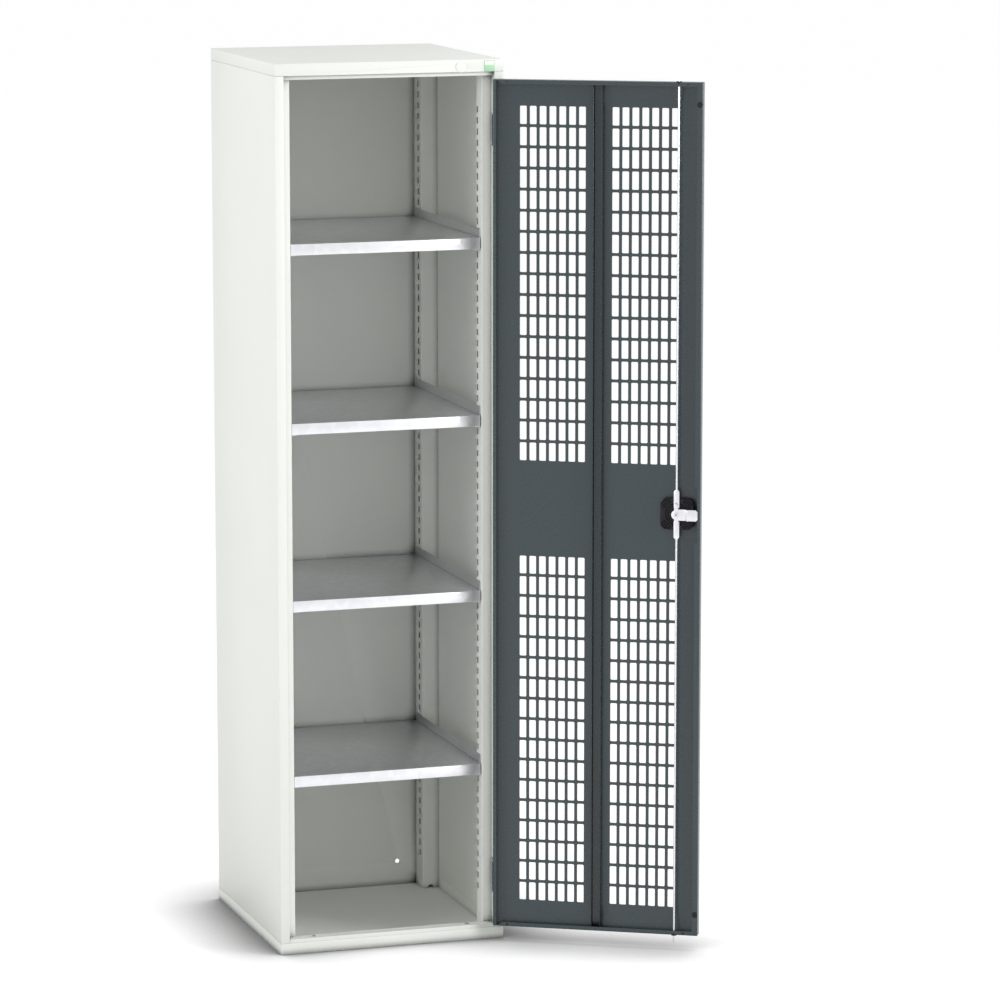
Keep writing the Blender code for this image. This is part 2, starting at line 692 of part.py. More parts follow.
def build_hinges(pivot, pin_at):
    """Make the two hinges: frame leaf, door leaf and pin."""
    levels = (("lower", DOOR_Z0 + HINGE_END), ("upper", DOOR_Z1 - HINGE_END))
    for label, z in levels:
        leaf(f"hinge_frame_leaf_{label}", 1, z, (0, 2), "zinc_steel", None, pin_at)
        leaf(f"hinge_door_leaf_{label}", -1, z, (1,), "door_paint", pivot, (0, 0, 0))
        half = HINGE_H / 2
        profile = [(0, half + GAP + PIN_HEAD_H), (PIN_HEAD_R, half + GAP + PIN_HEAD_H),
                   (PIN_HEAD_R, half + GAP), (PIN_R, half + GAP), (PIN_R, -half), (0, -half)]
        pin = turned(f"hinge_pin_{label}", profile, "zinc_steel", None,
                     pin_at + Vector((0, 0, z)))
        smooth(pin)


def build_lock(pivot, hub):
    """Make the lock: dish and housing on the door, the rest on the spindle's axis."""
    hub_at = at(HUB_S, 0, DOOR_MID)
    hole = SPINDLE_R + GAP
    flange_z = -GAP - DISH_FLANGE_T
    profile = [(hole, DISH_DEPTH), (DISH_R, DISH_DEPTH), (DISH_R, -GAP), (DISH_FLANGE_R, -GAP),
               (DISH_FLANGE_R, flange_z), (DISH_R - SHEET, flange_z),
               (DISH_R - SHEET, DISH_DEPTH - SHEET), (hole, DISH_DEPTH - SHEET)]
    dish = turned("lock_dish", profile, "black_plastic", pivot, hub_at, INWARD, True, FINE)
    smooth(dish)

    across, up = HOUSING_W / 2, HOUSING_H / 2
    seat = SHEET + GAP
    bm = bmesh.new()
    put_box(bm, (-across, seat, -up), (across, HOUSING_TOP, up))
    bm.normal_update()
    corners = [edge for edge in bm.edges
               if abs((edge.verts[0].co - edge.verts[1].co).normalized().y) > HALF_SHARE]
    bmesh.ops.bevel(bm, geom=corners, offset=HOUSING_CORNER, segments=3, profile=HALF_SHARE,
                    affect="EDGES")
    housing = add_object("lock_housing", bm, "black_plastic", pivot, hub_at)
    cup_top = DISH_DEPTH + GAP
    boolean(housing, cylinders("cut_housing_cup", [(0, cup_top - DISH_DEPTH, 0)], DISH_R + GAP,
                               DISH_DEPTH * 2, "Y", pivot, hub_at, FINE))
    boolean(housing, cylinders("cut_housing_hole", [(0, HOUSING_TOP, 0)], hole, DISH_DEPTH, "Y",
                               pivot, hub_at))

    base_y = HANDLE_BACK - HANDLE_BASE_T
    bar = boxes("turn_handle", [((-HANDLE_W / 2, -HANDLE_PROUD, -HANDLE_LENGTH / 2),
                                 (HANDLE_W / 2, base_y + JOIN_OVER, HANDLE_LENGTH / 2))],
                "black_plastic", hub)
    boolean(bar, cylinders("join_handle_base", [(0, HANDLE_BACK - HANDLE_BASE_T / 2, 0)],
                           HANDLE_BASE_R, HANDLE_BASE_T, "Y", hub, segments=FINE), "UNION")
    bore_end = KEY_DEPTH - HANDLE_PROUD + GAP
    bore_start = -HANDLE_PROUD - CUT_OVER
    boolean(bar, cylinders("cut_handle_key", [(0, (bore_start + bore_end) / 2, 0)],
                           KEY_R + KEY_FIT, bore_end - bore_start, "Y", hub))
    key_in = KEY_DEPTH - HANDLE_PROUD
    plug = turned("key_plug", [(0, key_in), (KEY_R, key_in), (KEY_R, -HANDLE_PROUD),
                               (0, -HANDLE_PROUD)], "zinc_steel", hub, (0, 0, 0), INWARD)
    smooth(plug)
    boolean(plug, boxes("cut_keyway", [((-KEYWAY_W / 2, -HANDLE_PROUD - CUT_OVER,
                                         -KEYWAY_L / 2),
                                        (KEYWAY_W / 2, KEYWAY_D - HANDLE_PROUD,
                                         KEYWAY_L / 2))], parent=hub))

    bore = SCREW_R + GAP
    tip = CAM_LEVEL - GAP
    spindle = turned("lock_spindle",
                     [(0, tip - SCREW_DEPTH), (bore, tip - SCREW_DEPTH), (bore, tip),
                      (SPINDLE_R, tip), (SPINDLE_R, HANDLE_BACK + GAP), (0, HANDLE_BACK + GAP)],
                     "zinc_steel", hub, (0, 0, 0), INWARD)
    smooth(spindle)
    seat_y = CAM_LEVEL + CAM_T + GAP
    screw = turned("cam_screw",
                   [(0, seat_y + SCREW_HEAD_H), (SCREW_HEAD_R, seat_y + SCREW_HEAD_H),
                    (SCREW_HEAD_R, seat_y), (SCREW_R, seat_y),
                    (SCREW_R, tip - SCREW_DEPTH + GAP), (0, tip - SCREW_DEPTH + GAP)],
                   "zinc_steel", hub, (0, 0, 0), INWARD)
    smooth(screw)
    build_cam(hub, bore)


def arc(x, z, radius, start, end):
    """Return points on an arc, with angles in degrees from +X towards +Z."""
    count = max(2, round(abs(end - start) * ROUND / 360))
    angles = [math.radians(start + (end - start) * k / count) for k in range(count + 1)]
    return [(x + radius * math.cos(angle), z + radius * math.sin(angle)) for angle in angles]


def cam_outline():
    """Return the cam's plan in (x, z): two arms, a hub disc and the tongue towards -X."""
    half = TONGUE_H / 2
    arm = CAM_ARM_W / 2
    shoulder = -TONGUE_LENGTH + TONGUE_NOSE
    edge = math.degrees(math.acos(arm / CAM_R))
    return [*arc(0, CAM_PIN_RADIUS, arm, 0, 180), (-arm, half), (shoulder, half),
            (-TONGUE_LENGTH, half - TONGUE_NOSE), (-TONGUE_LENGTH, TONGUE_NOSE - half),
            (shoulder, -half), (-arm, -half), *arc(0, -CAM_PIN_RADIUS, arm, 180, 360),
            *arc(0, 0, CAM_R, -edge, edge)]


def build_cam(hub, bore):
    """Make the cam: a joggled plate cut to its plan, with two rod pins."""
    low, high = CAM_LEVEL, TONGUE_LEVEL
    tall = (CAM_PIN_RADIUS + CAM_ARM_W) * 2
    bm = bmesh.new()
    path = [(CAM_R + CUT_OVER, low), (-TONGUE_JOGGLE, low),
            (-TONGUE_JOGGLE - TONGUE_RISE_RUN, high), (-TONGUE_LENGTH - CUT_OVER, high)]
    row = [bm.verts.new((x, y, -tall / 2)) for x, y in path]
    edges = [bm.edges.new(pair) for pair in zip(row, row[1:])]
    made = bmesh.ops.extrude_edge_only(bm, edges=edges)["geom"]
    moved = [item for item in made if isinstance(item, bmesh.types.BMVert)]
    bmesh.ops.translate(bm, verts=moved, vec=(0, 0, tall))
    bm.normal_update()
    if edges[0].link_faces[0].normal.y > 0:
        bmesh.ops.reverse_faces(bm, faces=bm.faces[:])
    cam = add_object("lock_cam", bm, "zinc_steel", hub)
    thicken(cam, CAM_T)
    plan = outline_prism("trim_cam", cam_outline(), low - CUT_OVER, high + CAM_T + CUT_OVER,
                         parent=hub)
    boolean(cam, plan, "INTERSECT")
    middle = low + CAM_T / 2
    pin_low = ROD_LEVEL + FLAT_T / 2 + CAM_PIN_CLEAR
    pins = [(0, (pin_low + middle) / 2, z) for z in (-CAM_PIN_RADIUS, CAM_PIN_RADIUS)]
    boolean(cam, cylinders("join_cam_pins", pins, CAM_PIN_R, middle - pin_low, "Y", hub,
                           segments=COARSE), "UNION")
    boolean(cam, cylinders("cut_cam_bore", [(0, middle, 0)], bore, CAM_T + CUT_OVER, "Y", hub))


def build_rods(pivot):
    """Make the guide bushes and the rods, each about its own bush."""
    bore = ROD_R + ROD_FIT
    ring = [(bore, GAP + GUIDE_FLANGE), (GUIDE_R, GAP + GUIDE_FLANGE), (GUIDE_R, GAP),
            (GUIDE_NECK_R, GAP), (GUIDE_NECK_R, -GUIDE_NECK), (bore, -GUIDE_NECK)]
    inner_end = DOOR_MID - DOOR_Z0 - FLAT_END
    flat_far = DOOR_MID - DOOR_Z0 - FLAT_START
    shaft = [(0, ROD_PROUD), (ROD_R - ROD_TIP, ROD_PROUD), (ROD_R, ROD_PROUD - ROD_TAPER),
             (ROD_R, -inner_end - CUT_OVER), (0, -inner_end - CUT_OVER)]
    for label, z, turn in (("upper", DOOR_Z1, 0.0), ("lower", DOOR_Z0, math.pi)):
        empty = add_empty(f"{label}_guide_pivot", at(HUB_S, ROD_LEVEL, z), pivot)
        guide = turned(f"{label}_rod_guide", ring, "black_plastic", empty, turn=(turn, 0, 0),
                       closed=True, segments=COARSE)
        smooth(guide)
        rod = turned(f"{label}_rod", shaft, "zinc_steel", empty, turn=(turn, 0, 0),
                     segments=COARSE)
        smooth(rod)
        bm = bmesh.new()
        put_box(bm, (-FLAT_W / 2, -FLAT_T / 2, -flat_far),
                (FLAT_W / 2, FLAT_T / 2, -inner_end))
        bm.normal_update()
        corners = [edge for edge in bm.edges
                   if abs((edge.verts[0].co - edge.verts[1].co).normalized().y) > HALF_SHARE]
        bmesh.ops.bevel(bm, geom=corners, offset=FLAT_CORNER, segments=2, profile=HALF_SHARE,
                        affect="EDGES")
        flat = add_object(f"join_{label}_flat", bm, None, empty)
        flat.rotation_euler = (turn, 0, 0)
        boolean(rod, flat, "UNION")


def build():
    """Make every piece of the cabinet."""
    build_trays()
    build_sides()
    build_posts()
    build_shelves()
    pin_at = place(PIVOT_X, -PIN_FORWARD)
    pivot = add_empty("door_pivot", pin_at, turn=math.radians(DOOR_OPEN_DEG))
    hub = add_empty("lock_pivot", at(HUB_S, 0, DOOR_MID), pivot)
    build_door(pivot)
    build_stops(pivot)
    build_hinges(pivot, pin_at)
    build_lock(pivot, hub)
    build_rods(pivot)


build()
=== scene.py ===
"""Looks of the ventilated storage cabinet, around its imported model."""

import json
import math

import bmesh
import bpy
from mathutils import Matrix, Vector


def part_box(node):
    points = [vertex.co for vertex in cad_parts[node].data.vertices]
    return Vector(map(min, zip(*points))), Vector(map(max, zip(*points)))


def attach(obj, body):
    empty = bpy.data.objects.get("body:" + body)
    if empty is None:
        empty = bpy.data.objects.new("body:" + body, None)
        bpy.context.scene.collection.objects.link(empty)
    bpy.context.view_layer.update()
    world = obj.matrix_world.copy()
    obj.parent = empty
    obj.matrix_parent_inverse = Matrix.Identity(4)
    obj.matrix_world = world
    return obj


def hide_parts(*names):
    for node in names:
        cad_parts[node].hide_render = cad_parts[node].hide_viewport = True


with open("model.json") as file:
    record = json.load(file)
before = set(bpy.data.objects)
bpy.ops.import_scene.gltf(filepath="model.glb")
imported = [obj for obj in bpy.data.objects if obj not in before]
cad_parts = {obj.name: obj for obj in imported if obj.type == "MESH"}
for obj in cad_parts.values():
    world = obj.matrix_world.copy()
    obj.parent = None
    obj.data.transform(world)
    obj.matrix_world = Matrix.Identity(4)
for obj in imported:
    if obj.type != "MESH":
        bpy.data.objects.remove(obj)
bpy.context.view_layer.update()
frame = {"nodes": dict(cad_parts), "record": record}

# Lengths are in metres. In the door, s runs from the hinge edge and h inwards from the skin.
SHEET = 0.0012
EDGE_GAP = 0.0035
SKIN_Y = 0.003
HALF_DEPTH = 0.275
OVER = 0.004
AXIS_X, AXIS_Y, AXIS_Z = 0, 1, 2

# Camera, fitted to the photograph's edges.
CAMERA_PLACE = (-2.9811, -10.1752, 2.7208)
CAMERA_DOWN, CAMERA_ASIDE = 9.322, 18.0985
CAMERA_LENS, CAMERA_SENSOR = 169.1, 36.0
CAMERA_FAR = 100.0

# Floor, sky and lamps. A lamp has its name, place, size, power in watts and target.
FLOOR_SIZE = 40.0
FLOOR_COLOUR = (0.62, 0.62, 0.62)
FLOOR_GLOW = 0.50
# Painted contact shadow on the floor: how far it reaches, the openness at which it is deepest,
# and the share of colour and glow left there.
SHADOW_REACH = 0.21
SHADOW_OPEN = 0.5
SHADOW_SHARE = 0.18
HORIZON, ZENITH = 1.07, 0.66
LAMPS = (
    ("right_lamp", (4.5, -3.4, 2.4), (2.4, 2.4), 205.0, (0.0, 0.0, 1.1)),
    ("left_lamp", (-5.0, -1.6, 2.6), (2.4, 2.4), 85.0, (0.0, 0.0, 1.1)),
)

# Materials: how far painted shade reaches into joints and hollows, how high bumps are, and the
# label's shares of its half.
PAINT_SHADE_REACH, DETAIL_SHADE_REACH = 0.03, 0.006
PEEL_HEIGHT, GRAIN_HEIGHT = 0.0002, 0.0001
LABEL_FADE, LABEL_RIM = (0.05, 0.35), 0.90

# Carcass. A post row has its name, its slots' distance from the front, first index and count.
# The strike slot runs from y to y, from the front, and from z to z.
SEAM, SEAM_DEPTH = 0.0012, 0.0006
POST_BEND = 0.0018
SLOT_W, SLOT_H, SLOT_CORNER = 0.011, 0.0146, 0.003
SLOT_FIRST, SLOT_PITCH = 0.078, 0.025
POST_ROWS = (("front", 0.062, 1, 72), ("rear", 0.512, 0, 74))
STRIKE_SLOT = (0.0297, 0.0342, 0.9629, 1.0125)
STRIKE_CORNER = 0.0012
FOOT_NOTCH_R = 0.0075

# Door pan.
DOOR_W = 0.471
DOOR_H = 0.024
DOOR_Z0 = 0.0363
DOOR_Z1 = 1.9577
DOOR_MID = (DOOR_Z0 + DOOR_Z1) / 2
DOOR_BEND, DOOR_INNER_BEND = 0.0018, 0.0006
LATCH_LIP, HINGE_LIP, END_LIP = 0.0126, 0.0083, 0.0095
MOUTH_CORNER = 0.002
LIP_END_FOOT, LIP_END_TOP = 0.0112, 0.0270
NOTCH_NEAR, NOTCH_FAR = 0.0069, 0.0166
NOTCH_H, NOTCH_CORNER = 0.126, 0.001
VENT_COLUMNS, VENT_ROWS = 7, 17
VENT_W, VENT_H, VENT_CORNER = 0.0152, 0.0404, 0.0024
VENT_PITCH_S, VENT_PITCH_Z = 0.02217, 0.04705
VENT_SIDE, VENT_END = 0.05725, 0.059
DISH_HOLE_R = 0.031
LIP_HOLE_R, LIP_HOLE_SIDE = 0.0024, 0.033
STOP_HOLE_R, STOP_END = 0.002, 0.049
GUIDE_HOLE_R = 0.0053
HINGE_END = 0.113

# Lock cover and tongue. Heights are above the skin.
HUB_S = 0.4168
HOUSING_W, HOUSING_H, HOUSING_CORNER = 0.0745, 0.070, 0.014
HOUSING_BOTTOM, HOUSING_TOP = 0.0015, 0.016
CUP_R, CUP_TOP = 0.031, 0.0113
BORE_R, BORE_BOTTOM = 0.0043, 0.008
GROOVES = ((0.0138, 0.0146), (0.0186, 0.0204), (0.0230, 0.0262))
CHANNELS = (0.0290, 0.0340, 0.0390)
CHANNEL_W, CHANNEL_L = 0.0028, 0.024
RELIEF_FLOOR = 0.0125
TONGUE_TOP, TONGUE_H = 0.0313, 0.025
CREASE, CREASE_DEPTH = (-0.0246, -0.0234), 0.0009
NOSE, NOSE_DEPTH, NOSE_WIDTH = (-0.052, -0.0295), 0.0016, 0.0047
NOSE_RISE, NOSE_SIDE = 0.0006, 0.0002

# Rods. The root's heights are above the hub, and the tip's above the door's edge.
ROD_LEVEL = 0.019
ROD_R = 0.0025
ROD_TIP = ((0, 0.0203), (0.0010, 0.0203), (0.0015, 0.0199), (0.0024, 0.0118), (ROD_R, 0.0108))
ROD_ROOT = ((ROD_R, 0.058), (0.0016, 0.050), (0.0004, 0.046), (0, 0.046))
FLAT_START, FLAT_END = 0.013, 0.056
FLAT_W, FLAT_T = 0.0123, 0.002
FLAT_CORNER, FLAT_TAPER, FLAT_NECK = 0.003, 0.0045, 0.0028

# Profiles of the turned pieces, as points of radius and height.
DISH_PROFILE = ((BORE_R, 0.011), (0.0307, 0.011), (0.0307, -0.0003), (0.036, -0.0003),
                (0.036, -0.0013), (0.0295, -0.0013), (0.0295, 0.0098), (BORE_R, 0.0098))
KEY_PROFILE = ((0, 0.0062), (0.005, 0.0062), (0.005, -0.001), (0, -0.001))
SPINDLE_PROFILE = ((0, 0.0127), (0.0023, 0.0127), (0.0023, 0.0227), (0.004, 0.0227),
                   (0.004, 0.0098), (0, 0.0098))
SCREW_PROFILE = ((0, 0.0239), (0.0016, 0.0239), (0.0016, 0.0275), (0.0020, 0.0279),
                 (0.0036, 0.0279), (0.0042, 0.0273), (0.0042, 0.0253), (0.002, 0.0253),
                 (0.002, 0.013), (0, 0.013))
STOP_PROFILE = ((0, 0.0026), (0.0062, 0.0026), (0.0062, 0.0003), (0.0017, 0.0003),
                (0.0017, -0.0025), (0, -0.0025))
BLANK_PROFILE = ((0, 0.003), (0.0077, 0.003), (0.0077, -0.0003), (0.01225, -0.0003),
                 (0.01225, -0.0008), (0, -0.0008))
PIN_PROFILE = ((0, 0.0353), (0.0024, 0.0353), (0.0024, 0.0343), (0.0015, 0.0343),
               (0.0015, -0.034), (0, -0.034))
GUIDE_PROFILE = ((0.0026, 0.0015), (0.0063, 0.0015), (0.0063, 0.0003), (0.005, 0.0003),
                 (0.005, -0.003), (0.0026, -0.003))

# Widths of softened edges.
FOLD_EDGE, RAIL_EDGE, THIN_EDGE = 0.0011, 0.0008, 0.0004
BACK_EDGE, LABEL_EDGE = 0.0003, 0.00015
TURNED_EDGE, DISH_EDGE, STOP_EDGE = 0.0003, 0.0005, 0.0007
BLANK_EDGE, SCREW_EDGE = 0.0002, 0.0001
MERGE_REACH = 0.000001

# Angles, in degrees: softened edges, sharp shading and faces taken as one.
EDGE_ANGLE, SHARP_ANGLE, FLAT_ANGLE = 35, 32, 1

# Profile corners: the most of a side that a chamfer takes, and how far in its middle lies.
CHAMFER_SHARE, CHAMFER_DEPTH = 0.4, 0.42

# The hinge's axis and the angle at which the door stands open.
joints = {joint["name"]: joint for joint in frame["record"]["behaviour"]["joints"]}
PIN = Vector(joints["door_hinge"]["pos_m"])
OPEN = -math.radians(joints["door_hinge"]["range_deg"][0])
DOOR = Matrix.Translation((PIN.x, PIN.y, 0)) @ Matrix.Rotation(OPEN, 4, "Z")
HUB = DOOR @ Matrix.Translation((-EDGE_GAP - HUB_S, SKIN_Y, DOOR_MID))
UP = Matrix.Rotation(math.pi / 2, 4, "X")


def node_group(material):
    """Return a material's nodes, links and Principled shader."""
    material.use_nodes = True
    tree = material.node_tree
    return tree.nodes, tree.links, tree.nodes["Principled BSDF"]


def add_noise(nodes, links, coords, scale, detail=2.0, stretch=(1, 1, 1)):
    """Add a noise texture in object space, in features per metre."""
    mapping = nodes.new("ShaderNodeMapping")
    mapping.inputs["Scale"].default_value = stretch
    links.new(coords.outputs["Object"], mapping.inputs["Vector"])
    noise = nodes.new("ShaderNodeTexNoise")
    noise.inputs["Scale"].default_value = scale
    noise.inputs["Detail"].default_value = detail
    links.new(mapping.outputs["Vector"], noise.inputs["Vector"])
    return noise.outputs["Fac"]


def add_ramp(nodes, links, source, low, high, start=0.3, end=0.7):
    """Map a value between two colours."""
    ramp = nodes.new("ShaderNodeValToRGB")
    ramp.color_ramp.elements[0].position = start
    ramp.color_ramp.elements[0].color = (*low, 1)
    ramp.color_ramp.elements[1].position = end
    ramp.color_ramp.elements[1].color = (*high, 1)
    links.new(source, ramp.inputs["Fac"])
    return ramp.outputs["Color"]


def add_range(nodes, links, source, start, end, low=0.0, high=1.0):
    """Map a value between two numbers."""
    node = nodes.new("ShaderNodeMapRange")
    node.inputs["From Min"].default_value = start
    node.inputs["From Max"].default_value = end
    node.inputs["To Min"].default_value = low
    node.inputs["To Max"].default_value = high
    links.new(source, node.inputs["Value"])
    return node


def add_math(nodes, links, operation, first, second=None):
    """Work out a value from a source and another source or a number."""
    node = nodes.new("ShaderNodeMath")
    node.operation = operation
    links.new(first, node.inputs[0])
    if isinstance(second, float):
        node.inputs[1].default_value = second
    elif second is not None:
        links.new(second, node.inputs[1])
    return node.outputs["Value"]


def add_gloss(nodes, links, shader, source, roughness, spread):
    """Vary the roughness with a value."""
    rough = add_range(nodes, links, source, 0.3, 0.7, roughness - spread, roughness + spread)
    links.new(rough.outputs["Result"], shader.inputs["Roughness"])


def add_bump(nodes, links, shader, source, strength, distance):
    """Bump the surface by a value."""
    bump = nodes.new("ShaderNodeBump")
    bump.inputs["Strength"].default_value = strength
    bump.inputs["Distance"].default_value = distance
    links.new(source, bump.inputs["Height"])
    links.new(bump.outputs["Normal"], shader.inputs["Normal"])


def paint_hollow_shade(nodes, links, source, reach, dark):
    """Paint shade into a colour: darken it in narrow joints, hollows and holes, where little
    light reaches.
    """
    # Painted shade: ambient occlusion scales the colour down in hollows.
    closeness = nodes.new("ShaderNodeAmbientOcclusion")
    closeness.samples = 4
    closeness.inputs["Distance"].default_value = reach
    share = add_range(nodes, links, closeness.outputs["AO"], 0.2, 0.6, low=dark)
    share.interpolation_type = "SMOOTHSTEP"
    product = nodes.new("ShaderNodeVectorMath")
    product.operation = "SCALE"
    links.new(source, product.inputs[0])
    links.new(share.outputs["Result"], product.inputs["Scale"])
    return product.outputs["Vector"]


def scaled(colour, factor):
    """Return a colour made lighter or darker."""
    return tuple(channel * factor for channel in colour)


def make_paint(name, colour, roughness, specular):
    """Powder coat: slight orange peel, cloudy gloss, a faint change of tone, and painted shade
    in joints and hollows.
    """
    material = bpy.data.materials.new(name)
    nodes, links, shader = node_group(material)
    coords = nodes.new("ShaderNodeTexCoord")
    cloud = add_noise(nodes, links, coords, scale=3.0)
    tone = add_ramp(nodes, links, cloud, scaled(colour, 0.985), scaled(colour, 1.01))
    # Painted shade: the colour darkens in joints, recesses and holes, where little light
    # reaches.
    tone = paint_hollow_shade(nodes, links, tone, PAINT_SHADE_REACH, dark=0.04)
    links.new(tone, shader.inputs["Base Color"])
    gloss = add_noise(nodes, links, coords, scale=160.0)
    add_gloss(nodes, links, shader, gloss, roughness, spread=0.03)
    peel = add_noise(nodes, links, coords, scale=900.0, detail=3.0)
    add_bump(nodes, links, shader, peel, 0.06, PEEL_HEIGHT)
    shader.inputs["Specular IOR Level"].default_value = specular
    return material


def make_zinc(name, colour, roughness, spangle, grain):
    """Zinc-coated steel: crystal spangle, rolling grain along X, and painted shade in joints
    and holes.
    """
    material = bpy.data.materials.new(name)
    nodes, links, shader = node_group(material)
    coords = nodes.new("ShaderNodeTexCoord")
    voronoi = nodes.new("ShaderNodeTexVoronoi")
    voronoi.inputs["Scale"].default_value = spangle
    links.new(coords.outputs["Object"], voronoi.inputs["Vector"])
    tone = add_ramp(nodes, links, voronoi.outputs["Color"], scaled(colour, 0.95),
                    scaled(colour, 1.03), start=0.1, end=0.9)
    # Painted shade: the colour darkens in joints, recesses and holes, where little light
    # reaches.
    tone = paint_hollow_shade(nodes, links, tone, DETAIL_SHADE_REACH, dark=0.15)
    links.new(tone, shader.inputs["Base Color"])
    streak = add_noise(nodes, links, coords, scale=grain, detail=3.0, stretch=(0.04, 1, 1))
    add_gloss(nodes, links, shader, streak, roughness, spread=0.05)
    add_bump(nodes, links, shader, streak, 0.06, GRAIN_HEIGHT)
    shader.inputs["Metallic"].default_value = 1.0
    return material


def make_plastic(name, colour, roughness, specular):
    """Moulded plastic or rubber with a fine eroded texture and painted shade in joints and
    hollows.
    """
    material = bpy.data.materials.new(name)
    nodes, links, shader = node_group(material)
    coords = nodes.new("ShaderNodeTexCoord")
    patch = add_noise(nodes, links, coords, scale=60.0)
    tone = add_ramp(nodes, links, patch, scaled(colour, 0.85), scaled(colour, 1.15))
    # Painted shade: the colour darkens in joints, recesses and holes, where little light
    # reaches.
    tone = paint_hollow_shade(nodes, links, tone, DETAIL_SHADE_REACH, dark=0.03)
    links.new(tone, shader.inputs["Base Color"])
    grain = add_noise(nodes, links, coords, scale=2500.0)
    add_gloss(nodes, links, shader, grain, roughness, spread=0.06)
    add_bump(nodes, links, shader, grain, 0.2, GRAIN_HEIGHT)
    shader.inputs["Specular IOR Level"].default_value = specular
    return material


def make_label(name):
    """Plain two-tone film: a pale band over a green one, with a darker rim."""
    low, high = (Vector(corner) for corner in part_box("fascia_label"))
    middle = (low + high) / 2
    half = (high.z - low.z) / 2
    material = bpy.data.materials.new(name)
    nodes, links, shader = node_group(material)
    coords = nodes.new("ShaderNodeTexCoord")
    split = nodes.new("ShaderNodeSeparateXYZ")
    links.new(coords.outputs["Object"], split.inputs["Vector"])
    rise = add_range(nodes, links, split.outputs["Z"], middle.z + half * LABEL_FADE[0],
                     middle.z + half * LABEL_FADE[1])
    bands = add_ramp(nodes, links, rise.outputs["Result"], (0.40, 0.68, 0.45),
                     (0.80, 0.97, 0.83))
    reach = []
    for axis, centre in (("X", middle.x), ("Z", middle.z)):
        offset = add_math(nodes, links, "SUBTRACT", split.outputs[axis], centre)
        reach.append(add_math(nodes, links, "ABSOLUTE", offset))
    edge = add_math(nodes, links, "MAXIMUM", *reach)
    rim = add_math(nodes, links, "GREATER_THAN", edge, half * LABEL_RIM)
    mix = nodes.new("ShaderNodeMix")
    mix.data_type = "RGBA"
    links.new(rim, mix.inputs["Factor"])
    links.new(bands, mix.inputs["A"])
    mix.inputs["B"].default_value = (0.33, 0.60, 0.38, 1)
    links.new(mix.outputs["Result"], shader.inputs["Base Color"])
    shader.inputs["Roughness"].default_value = 0.35
    return material


LOOKS = {
    "carcass_paint": make_paint("light_powder_coat", (0.78, 0.80, 0.757), 0.42, 0.3),
    "door_paint": make_paint("dark_powder_coat", (0.027, 0.0425, 0.0495), 0.28, 0.6),
    "zinc_sheet": make_zinc("zinc_sheet", (0.80, 0.80, 0.83), 0.34, 70.0, 500.0),
    "zinc_steel": make_zinc("zinc_plate", (0.76, 0.76, 0.79), 0.36, 300.0, 900.0),
    "black_plastic": make_plastic("black_plastic", (0.018, 0.0162, 0.0192), 0.5, 0.2),
    "black_rubber": make_plastic("black_rubber", (0.010, 0.0105, 0.011), 0.65, 0.3),
    "label_green": make_label("label_film"),
}
SLOTS = {part["node"]: part["material_slot"] for part in frame["record"]["subparts"]}
BODIES = {node: body for body, nodes in frame["record"]["behaviour"]["bodies"].items()
          for node in nodes}


def node_box(node):
    """Return the lowest and highest corner of a node."""
    return tuple(Vector(corner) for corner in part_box(node))


def at(s, h, z):
    """Turn a door position into the hinge frame."""
    return Vector((-EDGE_GAP - s, SKIN_Y + h, z))


def add_mesh(name, bm, matrix=None):
    """Put a bmesh into the scene as a mesh object at the origin."""
    if matrix is not None:
        bmesh.ops.transform(bm, matrix=matrix, verts=bm.verts[:])
    mesh = bpy.data.meshes.new(name)
    bm.to_mesh(mesh)
    bm.free()
    obj = bpy.data.objects.new(name, mesh)
    bpy.context.scene.collection.objects.link(obj)
    return obj


def settle(obj):
    """Bake an object's modifiers into its mesh."""
    bpy.context.view_layer.update()
    graph = bpy.context.evaluated_depsgraph_get()
    mesh = bpy.data.meshes.new_from_object(obj.evaluated_get(graph))
    old = obj.data
    obj.modifiers.clear()
    obj.data = mesh
    bpy.data.meshes.remove(old)


def combine(obj, bm, operation="DIFFERENCE"):
    """Cut a bmesh from an object or join it to the object."""
    other = add_mesh("cutter", bm)
    modifier = obj.modifiers.new("Boolean", "BOOLEAN")
    modifier.operation = operation
    modifier.solver = "EXACT"
    modifier.object = other
    settle(obj)
    mesh = other.data
    bpy.data.objects.remove(other, do_unlink=True)
    bpy.data.meshes.remove(mesh)


def dress(obj, node, width=0.0):
    """Let a piece stand for its node: soften its edges, shade it and give it its look."""
    if width:
        bevel = obj.modifiers.new("Edges", "BEVEL")
        bevel.width = width
        bevel.segments = 2
        bevel.limit_method = "ANGLE"
        bevel.angle_limit = math.radians(EDGE_ANGLE)
        bevel.use_clamp_overlap = True
        settle(obj)
    obj.data.materials.clear()
    obj.data.materials.append(LOOKS[SLOTS[node]])
    obj.data.shade_smooth()
    obj.data.set_sharp_from_angle(angle=math.radians(SHARP_ANGLE))
    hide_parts(node)
    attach(obj, BODIES[node])


def put_box(bm, low, high, bevel=0.0, segments=3, along=None):
    """Add a box with rounded edges, or with only those along one axis rounded."""
    low, high = Vector(low), Vector(high)
    matrix = Matrix.Translation((low + high) / 2) @ Matrix.Diagonal((*(high - low), 1.0))
    made = bmesh.ops.create_cube(bm, size=1.0, matrix=matrix)["verts"]
    if bevel:
        edges = {edge for vert in made for edge in vert.link_edges}
        if along is not None:
            edges = {edge for edge in edges
                     if abs((edge.verts[0].co - edge.verts[1].co).normalized()[along]) > 0.5}
        bmesh.ops.bevel(bm, geom=list(edges), offset=bevel, segments=segments, profile=0.5,
                        affect="EDGES")


